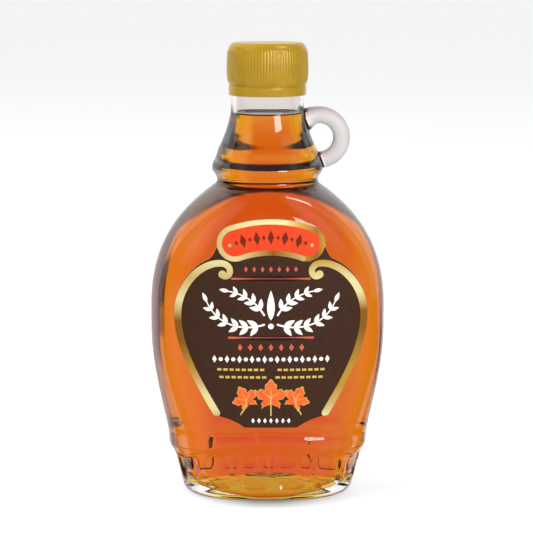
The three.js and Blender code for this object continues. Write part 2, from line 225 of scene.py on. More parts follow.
def lofted(name, rings):
    """Closed solid through rings of points, from the middle of the bottom to the middle of the top."""
    count, columns = rings.shape[:2]
    points = rings.reshape(-1, 3)
    bottom = rings[0].mean(axis=0)
    top = rings[-1].mean(axis=0)
    points = np.concatenate([points, [bottom, top]])
    low, high = count * columns, count * columns + 1
    faces = []
    for r in range(count - 1):
        for c in range(columns):
            d = (c + 1) % columns
            low_row, high_row = r * columns, (r + 1) * columns
            faces.append((low_row + c, low_row + d, high_row + d, high_row + c))
    last = (count - 1) * columns
    for c in range(columns):
        d = (c + 1) % columns
        faces.append((low, d, c))
        faces.append((high, last + c, last + d))
    return mesh_object(name, points, faces)


def cut_or_join(obj, other, operation):
    modifier = obj.modifiers.new("boolean", "BOOLEAN")
    modifier.object = other
    modifier.operation = operation
    modifier.solver = "MANIFOLD"
    bpy.context.view_layer.update()
    evaluated = obj.evaluated_get(bpy.context.evaluated_depsgraph_get())
    mesh = bpy.data.meshes.new_from_object(evaluated)
    obj.modifiers.clear()
    old = obj.data
    obj.data = mesh
    bpy.data.meshes.remove(old)
    bpy.data.objects.remove(other)


# Glass bottle
FOOT_END, NECK_START, NECK_END = 26, 106, 141
FINE_STEP, BELLY_STEP, HIDDEN_STEP = 0.34, 0.9, 3.0
RIM_LOW, RIM_HIGH, LEDGE_END = 16, 22.4, 31
COLLAR_LOW, COLLAR_HIGH = 121, 129
LEDGE_SOFT, RIM_SOFT, EDGE_SOFT = 1.8, 0.8, 0.4
FLUTE_LEVEL = 8
FLUTE_SHARE, FLUTE_SQUARE, FLUTE_BOWL = 0.86, 4, 0.9
RING_TURNS, RING_SIDES = 120, 40
SWELL_START, SWELL_SPAN = 1.6, 0.8
JOINT_LOW, JOINT_HIGH, JOINT_X, JOINT_Y = 112, 141, 6, 7
JOINT_REACH, JOINT_ROUNDS = 1.1, 14
ON_SURFACE, WALL_SKIN = 0.06, 1.5
WET_STEP, WET_SOFT, WET_COLUMNS, WET_ROW = 0.9, 0.5, 160, 20
GLASS_CREASE, SMOOTH_CREASE, PAPER_CREASE = math.radians(50), math.radians(60), math.radians(40)


def glass_step(z):
    """Distance between rows: fine at the foot and the neck, coarser on the belly and under the cap."""
    if z < FOOT_END or NECK_START < z < NECK_END:
        return FINE_STEP
    return BELLY_STEP if z <= NECK_START else HIDDEN_STEP


def glass_softness(z):
    """How far the outline's corners are rounded."""
    if RIM_HIGH < z < LEDGE_END:
        return LEDGE_SOFT
    return RIM_SOFT if RIM_LOW < z <= RIM_HIGH or COLLAR_LOW < z < COLLAR_HIGH else EDGE_SOFT


outer = resampled(outer_rows(), glass_step, glass_softness)
outer_angles = even_angles(outer[np.argmin(np.abs(outer[:, 1] - FLUTE_LEVEL))], FLUTES * FLUTE_COLUMNS)


def flute_cuts(rows, columns):
    """Depth of the thumb-shaped flutes at every row and column."""
    phase = ((np.arange(columns) - FIRST_RIB) % FLUTE_COLUMNS) / FLUTE_COLUMNS
    across = (np.abs(2 * phase - 1) / FLUTE_SHARE) ** FLUTE_SQUARE
    middle = (FLUTE_LOW + BAND_TOP) / 2
    upright = (np.abs(rows[:, 1] - middle) / (BAND_TOP - middle)) ** FLUTE_SQUARE
    share = np.maximum(0, 1 - across[None] - upright[:, None])
    return FLUTE_CUT * share ** FLUTE_BOWL


def ring_tube(turn):
    """Radius of the ring's tube, which swells where it nears the neck."""
    s = np.clip((turn - SWELL_START) / SWELL_SPAN, 0, 1)
    return RING_TUBE * (1 + RING_FLARE * s * s * (3 - 2 * s))


def ring_mesh():
    turns, sides = RING_TURNS, RING_SIDES
    theta = np.linspace(0, 2 * math.pi, turns, endpoint=False)
    phi = np.linspace(0, 2 * math.pi, sides, endpoint=False)
    tube = ring_tube(np.abs((theta + math.pi) % (2 * math.pi) - math.pi))
    reach = RING_R + tube[:, None] * np.cos(phi)[None]
    x = RING_X + reach * np.cos(theta)[:, None]
    z = RING_Z + reach * np.sin(theta)[:, None]
    y = -tube[:, None] * np.sin(phi)[None]
    points = np.stack([x, y, z], axis=2).reshape(-1, 3)
    faces = []
    for i in range(turns):
        for j in range(sides):
            k, m = (i + 1) % turns, (j + 1) % sides
            faces.append((i * sides + j, k * sides + j, k * sides + m, i * sides + m))
    return mesh_object("ring", points, faces)


def outward(obj):
    mesh = bmesh.new()
    mesh.from_mesh(obj.data)
    bmesh.ops.recalc_face_normals(mesh, faces=mesh.faces)
    mesh.to_mesh(obj.data)
    mesh.free()


def soften_joint(obj):
    """Evens out the crease where the ring's tube runs into the neck."""
    mesh = bmesh.new()
    mesh.from_mesh(obj.data)
    mesh.verts.ensure_lookup_table()
    points = np.array([v.co[:] for v in mesh.verts]) / MM
    dx, dz = points[:, 0] - RING_X, points[:, 2] - RING_Z
    tube = ring_tube(np.abs(np.arctan2(dz, dx)))
    from_tube = np.abs(np.hypot(np.hypot(dx, dz) - RING_R, points[:, 1]) - tube)
    wall = np.interp(points[:, 2], outer[:, 1], outer[:, 0])
    from_axis = np.hypot(points[:, 0], points[:, 1])
    from_wall = np.abs(from_axis - wall)
    height = (points[:, 2] > JOINT_LOW) & (points[:, 2] < JOINT_HIGH)
    near = (from_tube < ON_SURFACE) & (from_wall < ON_SURFACE) & height
    seam = KDTree(int(near.sum()))
    for i, p in enumerate(points[near]):
        seam.insert(p, i)
    seam.balance()
    zone = height & (points[:, 0] > JOINT_X) & (np.abs(points[:, 1]) < JOINT_Y)
    outside = from_axis > wall - WALL_SKIN
    chosen = []
    for i in np.nonzero(zone & outside)[0]:
        if seam.find(points[i])[2] < JOINT_REACH:
            chosen.append(mesh.verts[i])
    for _ in range(JOINT_ROUNDS):
        bmesh.ops.smooth_vert(
            mesh, verts=chosen, factor=0.5, use_axis_x=True, use_axis_y=True, use_axis_z=True)
    mesh.to_mesh(obj.data)
    mesh.free()


def wet_outline():
    """Rows of the glass's inner face up to the syrup's level."""
    return resampled(wet_rows(), lambda z: WET_STEP, lambda z: WET_SOFT)


def make_glass():
    rings = ring_points(outer, outer_angles, flute_cuts(outer, len(outer_angles)))
    glass = lofted("bottle_glass", rings)
    ring = ring_mesh()
    outward(glass)
    outward(ring)
    cut_or_join(glass, ring, "UNION")
    above = np.array([[BORE_R, HEIGHT, BORE_R, HEIGHT, ROUND]])
    inner = np.concatenate([wet_outline(), above])
    hollow = lofted("hollow", ring_points(inner, even_angles(inner[WET_ROW], WET_COLUMNS)))
    outward(hollow)
    cut_or_join(glass, hollow, "DIFFERENCE")
    soften_joint(glass)
    glass.data.polygons.foreach_set("use_smooth", np.ones(len(glass.data.polygons), bool))
    glass.data.set_sharp_from_angle(angle=GLASS_CREASE)
    return glass


# The syrup reaches a little into the glass and climbs the wall at its surface.
INTO_WALL, DROP_TOP, DROP_SPAN = 0.12, 40, 30
CLIMB, CLIMB_WIDTH = 0.8, 0.9


def make_syrup():
    rows = wet_outline()
    rows[:, 0] += INTO_WALL
    rows[:, 2] += INTO_WALL
    drop = INTO_WALL * np.clip((DROP_TOP - rows[:, 1]) / DROP_SPAN, 0, 1)
    rows[:, 1] -= drop
    rows[:, 3] -= drop
    edge = rows[-1, 0]
    top = []
    for share in np.linspace(0, 0.94, 26) ** 1.4:
        r = edge * (1 - share)
        z = FILL_Z + CLIMB * math.exp(-(edge - r) / CLIMB_WIDTH)
        top.append([r, z, r, z, ROUND])
    rows = np.concatenate([rows, np.array(top)])
    syrup = lofted("syrup_fill", ring_points(rows, even_angles(rows[WET_ROW], WET_COLUMNS)))
    outward(syrup)
    syrup.data.set_sharp_from_angle(angle=SMOOTH_CREASE)
    return syrup


# Cap
RIBS_LOW, RIBS_HIGH, RIBS_IN = 147.0, 158.9, 0.7
RIBS_LOW_FADE, RIBS_HIGH_FADE = 0.7, 0.8
RIB_COLUMNS, RIB_NARROW = 8, 1.4
CAP_PIN = 0.4


def make_cap():
    band_low, band = (13.72, CAP_Z + 0.35), (13.85, CAP_Z + 2.6)
    groove_low, groove_high = (13.55, CAP_Z + 3.3), (13.55, CAP_Z + 3.7)
    ledge, skirt_low = (13.88, CAP_Z + 4.1), (CAP_R - 0.25, 147.8)
    skirt_high, top = (CAP_R - 0.2, 156.8), (CAP_R - 2.3, HEIGHT)
    outline = joined([
        line((CAP_PIN, CAP_CEILING), (CAP_BORE, CAP_CEILING), 6),
        line((CAP_BORE, CAP_CEILING), (CAP_BORE, CAP_Z), 8),
        line((CAP_BORE, CAP_Z), (13.5, CAP_Z), 4),
        bezier((13.5, CAP_Z), (13.65, CAP_Z), (13.7, CAP_Z + 0.1), band_low, 6),
        line(band_low, band, 6),
        bezier(band, (13.86, CAP_Z + 3.0), (13.78, CAP_Z + 3.25), groove_low, 8),
        line(groove_low, groove_high, 4),
        bezier(groove_high, (13.65, CAP_Z + 3.75), (13.8, CAP_Z + 3.85), ledge, 8),
        bezier(ledge, (14.0, CAP_Z + 4.5), (14.15, CAP_Z + 4.8), skirt_low, 10),
        bezier(skirt_low, (CAP_R + 0.15, 150), (CAP_R + 0.05, 154), skirt_high, 30),
        bezier(skirt_high, (CAP_R - 0.3, 158.4), (CAP_R - 0.9, 160.4), top, 18),
        line(top, (CAP_PIN, HEIGHT), 10),
    ])
    rows = turned(outline)
    columns = CAP_RIBS * RIB_COLUMNS
    angles = np.arange(columns) * 2 * math.pi / columns
    ribs = 0.5 - 0.5 * np.cos(CAP_RIBS * angles)
    up = np.clip((rows[:, 1] - RIBS_LOW) / RIBS_LOW_FADE, 0, 1)
    up = up * np.clip((RIBS_HIGH - rows[:, 1]) / RIBS_HIGH_FADE, 0, 1)
    up = up * (rows[:, 0] > CAP_R - RIBS_IN)
    cut = CAP_RIB_CUT * (ribs[None] ** RIB_NARROW) * up[:, None]
    cap = lofted("screw_cap", ring_points(rows, angles, cut))
    outward(cap)
    cap.data.set_sharp_from_angle(angle=SMOOTH_CREASE)
    return cap


# Label
PLAQUE_TOP, PLAQUE_HALF, PLAQUE_ARC, PLAQUE_TURN = 101.0, 6.25, 37.2, 0.345
PLAQUE_MID = PLAQUE_TOP - PLAQUE_HALF - PLAQUE_ARC
SHIELD_TOP, SHIELD_SHOULDER, SHIELD_W, SHIELD_WAIST = 86.9, 21.6, 34.1, 66.5
SHIELD_TIP = (19.0, 90.9)
SHIELD_FOOT, SHIELD_FOOT_Z, TAB_W, TAB_Z = 20.4, 31.2, 9.2, 27.1
LABEL_SHIFT = 1.2
PAPER, PAPER_GAP = 0.12, 0.03
GRID_STEP = 1.1


def arc(cx, cz, r, start, stop, n):
    t = np.linspace(start, stop, n + 1)
    return np.c_[cx + r * np.cos(t), cz + r * np.sin(t)]


def plaque(inset):
    half, up = PLAQUE_HALF - inset, math.pi / 2
    ex = PLAQUE_ARC * math.sin(PLAQUE_TURN)
    ez = PLAQUE_MID + PLAQUE_ARC * math.cos(PLAQUE_TURN)
    return np.concatenate([
        arc(0, PLAQUE_MID, PLAQUE_ARC + half, up - PLAQUE_TURN, up + PLAQUE_TURN, 30)[:-1],
        arc(-ex, ez, half, up + PLAQUE_TURN, up + PLAQUE_TURN + math.pi, 22)[:-1],
        arc(0, PLAQUE_MID, PLAQUE_ARC - half, up + PLAQUE_TURN, up - PLAQUE_TURN, 30)[:-1],
        arc(ex, ez, half, up - PLAQUE_TURN - math.pi, up - PLAQUE_TURN, 22)[:-1],
    ])


def shield():
    right = joined([
        line((0, TAB_Z), (TAB_W, TAB_Z), 6),
        bezier((TAB_W, TAB_Z), (12.3, 29.3), (16, 30.9), (SHIELD_FOOT, SHIELD_FOOT_Z), 10),
        bezier((SHIELD_FOOT, SHIELD_FOOT_Z), (26, 42), (SHIELD_W, 54), (SHIELD_W, SHIELD_WAIST), 40),
        bezier((SHIELD_W, SHIELD_WAIST), (SHIELD_W, 76), (27.6, 84.6),
               (SHIELD_SHOULDER, SHIELD_TOP), 30),
        bezier((SHIELD_SHOULDER, SHIELD_TOP), (20.4, 87.8), (19.4, 89.6), SHIELD_TIP, 8),
        line(SHIELD_TIP, (0, SHIELD_TIP[1]), 8),
    ])
    left = right[::-1] * [-1, 1]
    return np.concatenate([right, left[1:-1]])


def stroke(path, half):
    """Outline of a line of changing half width drawn along a path."""
    step = np.gradient(path, axis=0)
    step /= np.linalg.norm(step, axis=1)[:, None]
    side = np.c_[-step[:, 1], step[:, 0]] * np.asarray(half)[:, None]
    around = np.linspace(0, math.pi, 9)
    start = np.arctan2(side[0, 1], side[0, 0]) + around
    stop = np.arctan2(-side[-1, 1], -side[-1, 0]) + around
    first = path[0] + half[0] * np.c_[np.cos(start), np.sin(start)]
    last = path[-1] + half[-1] * np.c_[np.cos(stop), np.sin(stop)]
    return np.concatenate([(path - side)[:-1], last[:-1], (path + side)[::-1][:-1], first[:-1]])


def scroll_path(mirror):
    path = joined([
        bezier((16.7, 81.1), (13.9, 79.9), (12.7, 85.5), (17.6, 85.6), 20),
        bezier((17.6, 85.6), (24.8, 85.6), (32.8, 77.0), (32.8, 66.5), 40),
        bezier((32.8, 66.5), (32.8, 54.3), (25.2, 42.4), (19.2, 32.0), 40),
    ])
    return path * [mirror, 1]


def scroll_half(count):
    t = np.linspace(0, 1, count)
    return 0.95 + 0.35 * np.sin(np.pi * np.clip(t * 1.25, 0, 1) ** 0.7 * 0.5)


def rectangle(x0, z0, x1, z1):
    return np.array([(x0, z0), (x1, z0), (x1, z1), (x0, z1)], float)


def diamond(x, z, w, h, tilt=0.0):
    c, s = math.cos(tilt), math.sin(tilt)
    points = np.array([(-w, 0), (0, -h), (w, 0), (0, h)], float)
    return points @ np.array([[c, -s], [s, c]]) + [x, z]


def dot(x, z, r, n=18):
    return arc(x, z, r, 0, 2 * math.pi, n)[:-1]


def leaf(x, z, size, tilt):
    """Lobed leaf from a formula: five pointed lobes round the stalk's end."""
    t = np.linspace(-math.pi, math.pi, 91)[:-1]
    lobes = 0.46 + 0.34 * np.abs(np.cos(2.5 * t)) ** 1.6 + 0.12 * np.cos(t)
    teeth = 0.05 * np.cos(15 * t)
    r = size * (lobes + teeth) * np.where(np.abs(t) > 2.5, 0.72, 1.0)
    points = np.c_[r * np.sin(t), r * np.cos(t)]
    c, s = math.cos(tilt), math.sin(tilt)
    return points @ np.array([[c, -s], [s, c]]) + [x, z]


def blade(base, angle, length, half):
    """Narrow leaf with a pointed tip, growing from its base at an angle."""
    t = np.linspace(0, 1, 13)
    width = half * np.sin(np.pi * t ** 0.8) ** 0.9
    forth = np.c_[length * t, width]
    back = np.c_[length * t, -width][::-1][1:-1]
    c, s = math.cos(angle), math.sin(angle)
    return np.concatenate([forth, back]) @ np.array([[c, s], [-s, c]]) + base


def twig(stem, count, length, half):
    """Stem with pairs of narrow leaves and one at its tip."""
    shapes = [stroke(stem, np.linspace(0.34, 0.2, len(stem)))]
    course = np.gradient(stem, axis=0)
    heading = np.arctan2(course[:, 1], course[:, 0])
    for i in range(count):
        share = (i + 0.7) / (count + 0.4)
        at = int(share * (len(stem) - 1))
        size = 1.0 - 0.35 * share
        for side in (1, -1):
            shapes.append(blade(stem[at], heading[at] + side * 0.72, length * size, half * size))
    shapes.append(blade(stem[-1], heading[-1], length * 0.8, half * 0.75))
    return shapes


# Colours of the print, in the order of the label's materials.
(BROWN, GOLD_RIGHT, GOLD_LEFT, GOLD_TOP, GOLD_LOW, GOLD_FINE,
 RED, DARK, RULE, LEAF, CREAM, BACK) = range(12)


def plaque_shapes():
    """Red plaque in a gold rim, with a row of diamonds and dots along its arc."""
    up, rim_turn, rim_in = math.pi / 2, 0.36, 0.87
    low_rim = arc(0, PLAQUE_MID, PLAQUE_ARC - PLAQUE_HALF + rim_in, up + rim_turn, up - rim_turn, 30)
    shapes = [(plaque(0.0), GOLD_TOP), (stroke(low_rim, np.full(len(low_rim), 0.9)), GOLD_LOW)]
    shapes.append((plaque(1.75), RED))
    for k in range(-5, 6):
        turn = k * 0.066
        x, z = PLAQUE_ARC * math.sin(turn), PLAQUE_MID + PLAQUE_ARC * math.cos(turn)
        tall = k % 2 == 0
        shapes.append((diamond(x, z, 1.15 if tall else 0.6, 2.5 if tall else 0.9, turn), DARK))
    for k in (-1, 1):
        turn = k * 0.395
        x, z = PLAQUE_ARC * math.sin(turn), PLAQUE_MID + PLAQUE_ARC * math.cos(turn)
        shapes.append((dot(x, z, 0.62), GOLD_FINE))
    return shapes


def sprig_shapes():
    """Fan of cream twigs in the middle of the shield."""
    stems = []
    for mirror in (1, -1):
        low = bezier((2.4, 64.0), (9.6, 61.6), (18.8, 63.4), (22.4, 71.8), 40)
        high = bezier((2.4, 67.4), (4.8, 71.6), (9.0, 74.8), (14.8, 75.8), 32)
        stems += twig(low * [mirror, 1], 6, 4.5, 0.95)
        stems += twig(high * [mirror, 1], 4, 4.2, 0.9)
    stems.append(blade((0, 65.6), math.pi / 2, 10.6, 1.35))
    stems.append(dot(0, 63.4, 1.0))
    return [(outline, CREAM) for outline in stems]


def row_shapes():
    """Rules and rows of small ornaments across the shield."""
    shapes = [
        (rectangle(-13.8, 79.9, 13.8, 80.6), RULE),
        (rectangle(-15.0, 58.9, 15.0, 59.7), RULE),
    ]
    for k in range(-3, 4):
        shapes.append((diamond(2.9 * k, 83.6, 0.65, 1.05), RULE))
    for k in range(-3, 4):
        shapes.append((diamond(3.6 * k, 55.9, 0.85, 1.3), RULE))
    for k in range(-9, 10):
        shapes.append((diamond(2.2 * k, 51.6, 0.8, 1.35) if k % 2 else dot(2.2 * k, 51.6, 0.72), CREAM))
    for z, first in ((47.9, 2.3), (45.2, 1.6)):
        for mirror in (1, -1):
            for k in range(8):
                x = first + 2.15 * k
                shapes.append((rectangle(mirror * x, z - 0.42, mirror * (x + 1.5), z + 0.42), GOLD_FINE))
    for k in range(-3, 4):
        shapes.append((diamond(2.1 * k, 29.6, 0.6, 0.95), CREAM))
    return shapes


def leaf_shapes():
    """Three lobed leaves with gold edges and stalks."""
    shapes = []
    for x, z, size, tilt in ((-8.6, 36.9, 5.4, -0.5), (8.6, 36.9, 5.4, 0.5), (0, 37.8, 6.6, 0.0)):
        shapes.append((leaf(x, z, size + 0.4, tilt), GOLD_FINE))
        shapes.append((leaf(x, z, size, tilt), LEAF))
        stalk = bezier((x, z), (x, z - 2), (x + 3 * tilt, z - 4), (x + 4 * tilt, z - size * 0.95), 10)
        shapes.append((stroke(stalk, np.full(len(stalk), 0.25)), GOLD_FINE))
        for turn in (-0.95, 0.0, 0.95):
            end = (x + 0.55 * size * math.sin(turn + tilt), z + 0.55 * size * math.cos(turn + tilt))
            vein = line((x, z), end, 4)
            shapes.append((stroke(vein, np.linspace(0.16, 0.07, len(vein))), GOLD_FINE))
    return shapes


def print_shapes():
    """Printed fields from the lowest to the highest, each an outline and a colour."""
    shapes = []
    for mirror, gold in ((1, GOLD_RIGHT), (-1, GOLD_LEFT)):
        path = scroll_path(mirror)
        shapes.append((stroke(path, scroll_half(len(path))), gold))
        shapes.append((dot(16.9 * mirror, 81.7, 1.4), gold))
    return shapes + plaque_shapes() + row_shapes() + sprig_shapes() + leaf_shapes()


def inside(points, outline):
    """Which points lie within a closed outline."""
    x, z = points[:, 0], points[:, 1]
    result = np.zeros(len(points), bool)
    for (x0, z0), (x1, z1) in zip(outline, np.roll(outline, -1, axis=0)):
        if z0 == z1:
            continue
        crosses = (z0 > z) != (z1 > z)
        result ^= crosses & (x < (x1 - x0) * (z - z0) / (z1 - z0) + x0)
    return result


def panel_depth(x, z):
    """Depth of the flask's front at places on the panel, read between the rows."""
    rows = outer[(outer[:, 1] > 20) & (outer[:, 1] < 110)]
    a, zs, b, zf, n = (rows[:, k][:, None] for k in range(5))
    share = np.clip(1 - (np.abs(x)[None] / a) ** n, 1e-6, 1)
    depth = b * share ** (1 / n)
    along = depth / np.hypot(depth, x[None])
    level = zs + (zf - zs) * along ** 2
    return np.array([np.interp(z[i], level[:, i], depth[:, i]) for i in range(len(x))])


def make_label():
    outlines = [shield(), plaque(0.0)]
    shapes = print_shapes()
    points, edges = [], []
    for outline in outlines + [s[0] for s in shapes]:
        start, count = len(points), len(outline)
        points.extend(map(tuple, outline))
        edges.extend((start + i, start + (i + 1) % count) for i in range(count))
    gx, gz = np.meshgrid(np.arange(-34, 35, GRID_STEP), np.arange(27.5, 101, GRID_STEP))
    grid = np.c_[gx.ravel(), gz.ravel()]
    grid = grid[inside(grid, outlines[0]) | inside(grid, outlines[1])]
    points.extend(map(tuple, grid))
    result = delaunay_2d_cdt([Vector(p) for p in points], edges, [], 0, 1e-4)
    flat = np.array([v[:] for v in result[0]])
    faces = np.array([f for f in result[2] if len(f) == 3])
    centres = flat[faces].mean(axis=1)
    kept = inside(centres, outlines[0]) | inside(centres, outlines[1])
    faces, centres = faces[kept], centres[kept]
    colour = np.full(len(faces), BROWN)
    for outline, index in shapes:
        colour[inside(centres, outline)] = index
    used, faces = np.unique(faces, return_inverse=True)
    faces = faces.reshape(-1, 3)
    flat = flat[used] + [LABEL_SHIFT, 0]
    depth = panel_depth(flat[:, 0], flat[:, 1])
    front = np.c_[flat[:, 0], -depth - PAPER_GAP - PAPER, flat[:, 1]]
    back = np.c_[flat[:, 0], -depth - PAPER_GAP, flat[:, 1]]
    count = len(flat)
    area = np.cross(flat[faces[:, 1]] - flat[faces[:, 0]], flat[faces[:, 2]] - flat[faces[:, 0]])
    faces[area < 0] = faces[area < 0][:, ::-1]
    directed = {}
    for f in faces:
        for i in range(3):
            directed[(f[i], f[(i + 1) % 3])] = True
    rim = [(p, q) for p, q in directed if (q, p) not in directed]
    all_faces = [tuple(f) for f in faces] + [tuple(int(i) + count for i in f[::-1]) for f in faces]
    all_faces += [(q, p, p + count, q + count) for p, q in rim]
    all_faces = [tuple(int(i) for i in f) for f in all_faces]
    label = mesh_object("paper_label", np.concatenate([front, back]), all_faces)
    index = np.concatenate([colour, np.full(len(faces), BACK), np.full(len(rim), BACK)]).astype(np.int32)
    label.data.polygons.foreach_set("material_index", index)
    label.data.set_sharp_from_angle(angle=PAPER_CREASE)
    return label


# Materials
def new_material(name):
    material = bpy.data.materials.new(name)
    material.use_nodes = True
    nodes = material.node_tree.nodes
    return material, nodes, material.node_tree.links, nodes["Principled BSDF"]


def noise(nodes, links, scale, detail=3.0, rough=0.5):
    place = nodes.new("ShaderNodeTexCoord")
    texture = nodes.new("ShaderNodeTexNoise")
    texture.inputs["Scale"].default_value = scale
    texture.inputs["Detail"].default_value = detail
    texture.inputs["Roughness"].default_value = rough
    links.new(place.outputs["Object"], texture.inputs["Vector"])
    return texture


def bumped(nodes, links, shader, height, strength, distance):
    bump = nodes.new("ShaderNodeBump")
    bump.inputs["Strength"].default_value = strength
    bump.inputs["Distance"].default_value = distance
    links.new(height, bump.inputs["Height"])
    links.new(bump.outputs["Normal"], shader.inputs["Normal"])


def ramp(nodes, links, value, stops):
    node = nodes.new("ShaderNodeValToRGB")
    while len(node.color_ramp.elements) < len(stops):
        node.color_ramp.elements.new(0.5)
    for element, (position, colour) in zip(node.color_ramp.elements, stops):
        element.position = position
        element.color = (*colour, 1.0)
    links.new(value, node.inputs["Fac"])
    return node.outputs["Color"]


def maths(nodes, links, operation, *values):
    node = nodes.new("ShaderNodeMath")
    node.operation = operation
    for socket, value in zip(node.inputs, values):
        if isinstance(value, (int, float)):
            socket.default_value = value
        else:
            links.new(value, socket)
    return node.outputs["Value"]


def place_parts(nodes, links):
    """Coordinates of a place on the object, in metres."""
    place = nodes.new("ShaderNodeTexCoord")
    parts = nodes.new("ShaderNodeSeparateXYZ")
    links.new(place.outputs["Object"], parts.inputs[0])
    return parts.outputs


def ranged(nodes, links, value, low, high):
    """0 at low and beyond it, changing evenly to 1 at high."""
    node = nodes.new("ShaderNodeMapRange")
    node.inputs["From Min"].default_value = low
    node.inputs["From Max"].default_value = high
    links.new(value, node.inputs["Value"])
    return node.outputs["Result"]


def tinted(nodes, links, colour, share, tint):
    """A colour multiplied by a tint, as far as share says."""
    node = nodes.new("ShaderNodeVectorMath")
    node.operation = "MULTIPLY"
    links.new(colour, node.inputs[0])
    links.new(ramp(nodes, links, share, [(0.0, (1.0, 1.0, 1.0)), (1.0, tint)]), node.inputs[1])
    return node.outputs["Vector"]


# Painted glow: a yellow tint low in the foot's front stands in for the syrup's light gathered there.
# Painted shade: a dark tint along the edge that the flask stands on stands in for its contact shadow.
PAINTED_GLOW_TINT, EDGE_SHADE_TINT = (1.0, 0.48, 0.02), (0.30, 0.25, 0.13)
GLOW_LEVEL, EDGE_SHADE_LEVEL = (0.0026, 0.0018), (0.0008, 0.0003)
GLOW_FRONT, GLOW_SIDE = (-0.010, -0.016), (0.0265, 0.017)
# The finger ring's glass is less clear than the wall's, and so is the neck above the syrup.
# The ring begins where the place's distance to the right passes the neck's slanted side.
RING_HAZE, RING_MILK = 0.40, 0.40
NECK_SLANT, RING_SLANTED = 0.42, (0.0699, 0.0712)
RING_BESIDE, RING_ABOVE = (0.0138, 0.0150), (0.1120, 0.1130)
FILM_LEVEL, FILM_STOP = (0.1350, 0.1365), 0.5
CLEAR_TINT, FILM_TINT, RING_TINT = (0.98, 0.968, 0.962), (0.93, 0.885, 0.865), (0.84, 0.80, 0.80)


def glass_material():
    material, nodes, links, shader = new_material("clear_moulded_glass")
    shader.inputs["IOR"].default_value = 1.5
    x, y, z = place_parts(nodes, links)
    slanted = maths(nodes, links, "MULTIPLY_ADD", z, NECK_SLANT, x)
    beside = maths(nodes, links, "MULTIPLY", ranged(nodes, links, slanted, *RING_SLANTED),
                   ranged(nodes, links, x, *RING_BESIDE))
    above = ranged(nodes, links, z, *RING_ABOVE)
    haze = maths(nodes, links, "MULTIPLY", beside, above)
    links.new(maths(nodes, links, "MULTIPLY", haze, RING_HAZE), shader.inputs["Roughness"])
    clear = maths(nodes, links, "MULTIPLY_ADD", haze, -RING_MILK, 1.0)
    links.new(clear, shader.inputs["Transmission Weight"])
    film = ranged(nodes, links, z, *FILM_LEVEL)
    tint = maths(nodes, links, "MAXIMUM", haze, maths(nodes, links, "MULTIPLY", film, FILM_STOP))
    stops = [(0.0, CLEAR_TINT), (FILM_STOP, FILM_TINT), (1.0, RING_TINT)]
    # Painted glow: where the foot's front is tinted yellow in place of the light gathered there.
    sideways = maths(nodes, links, "ABSOLUTE", x)
    low = ranged(nodes, links, z, *GLOW_LEVEL)
    front = ranged(nodes, links, y, *GLOW_FRONT)
    middle = maths(nodes, links, "MULTIPLY", front, ranged(nodes, links, sideways, *GLOW_SIDE))
    painted_glow = maths(nodes, links, "MULTIPLY", low, middle)
    colour = tinted(nodes, links, ramp(nodes, links, tint, stops), painted_glow, PAINTED_GLOW_TINT)
    # Painted shade: a dark line along the foot's lower edge in place of its contact shadow.
    edge = ranged(nodes, links, z, *EDGE_SHADE_LEVEL)
    links.new(tinted(nodes, links, colour, edge, EDGE_SHADE_TINT), shader.inputs["Base Color"])
    waves = noise(nodes, links, 90.0, 1.0)
    bumped(nodes, links, shader, waves.outputs["Fac"], 0.05, 0.0004)
    return material


def syrup_material():
    material, nodes, links, shader = new_material("amber_liquid")
    shader.inputs["Base Color"].default_value = (1.0, 1.0, 1.0, 1.0)
    shader.inputs["Transmission Weight"].default_value = 1.0
    shader.inputs["IOR"].default_value = 1.47
    shader.inputs["Roughness"].default_value = 0.0
    shader.inputs["Specular IOR Level"].default_value = 0.1
    absorb = nodes.new("ShaderNodeVolumeAbsorption")
    absorb.inputs["Color"].default_value = (0.99, 0.835, 0.0, 1.0)
    absorb.inputs["Density"].default_value = 300.0
    links.new(absorb.outputs["Volume"], nodes["Material Output"].inputs["Volume"])
    return material


def cap_material():
    material, nodes, links, shader = new_material("ribbed_gold")
    cloud = noise(nodes, links, 260.0, 4.0)
    links.new(ramp(nodes, links, cloud.outputs["Fac"], [
        (0.3, (0.37, 0.215, 0.010)), (0.7, (0.43, 0.26, 0.015))]), shader.inputs["Base Color"])
    shader.inputs["Roughness"].default_value = 0.28
    shader.inputs["Metallic"].default_value = 0.15
    grain = noise(nodes, links, 2600.0, 2.0)
    bumped(nodes, links, shader, grain.outputs["Fac"], 0.15, 0.00008)
    return material


def paper_finish(nodes, links, shader, roughness):
    shader.inputs["Roughness"].default_value = roughness
    shader.inputs["Specular IOR Level"].default_value = 0.08
    fibre = noise(nodes, links, 3200.0, 3.0)
    bumped(nodes, links, shader, fibre.outputs["Fac"], 0.12, 0.00004)


def paper_material(name, low, high, roughness=0.55, scale=700.0):
    material, nodes, links, shader = new_material(name)
    fleck = noise(nodes, links, scale, 5.0, 0.6)
    colour = ramp(nodes, links, fleck.outputs["Fac"], [(0.3, low), (0.7, high)])
    links.new(colour, shader.inputs["Base Color"])
    paper_finish(nodes, links, shader, roughness)
    return material


# Lit and shaded tones of one gold, used for the painted sheen on the gold print.
PALE_GOLD, WARM_GOLD = (0.72, 0.63, 0.31), (0.53, 0.38, 0.14)
MID_GOLD, DARK_GOLD = (0.44, 0.245, 0.03), (0.235, 0.092, 0.012)


def gold_material(name, axis, stops):
    """Gold print with a painted sheen running from pale to dark along one axis; stops are in
    millimetres.
    """
    material, nodes, links, shader = new_material(name)
    first, last = stops[0][0], stops[-1][0]
    reach = ranged(nodes, links, place_parts(nodes, links)[axis], first * MM, last * MM)
    shares = [((at - first) / (last - first), colour) for at, colour in stops]
    links.new(ramp(nodes, links, reach, shares), shader.inputs["Base Color"])
    shader.inputs["Metallic"].default_value = 0.15
    paper_finish(nodes, links, shader, 0.35)
    return material


# Painted contact shadow: the floor's colour and glow darken close to the foot, most in the middle of the
# front.
CONTACT_SHADE, CONTACT_REACH, CONTACT_MIDDLE = 0.68, 10.0, (1.05, 0.15)
FLOOR_GLOW = 0.73


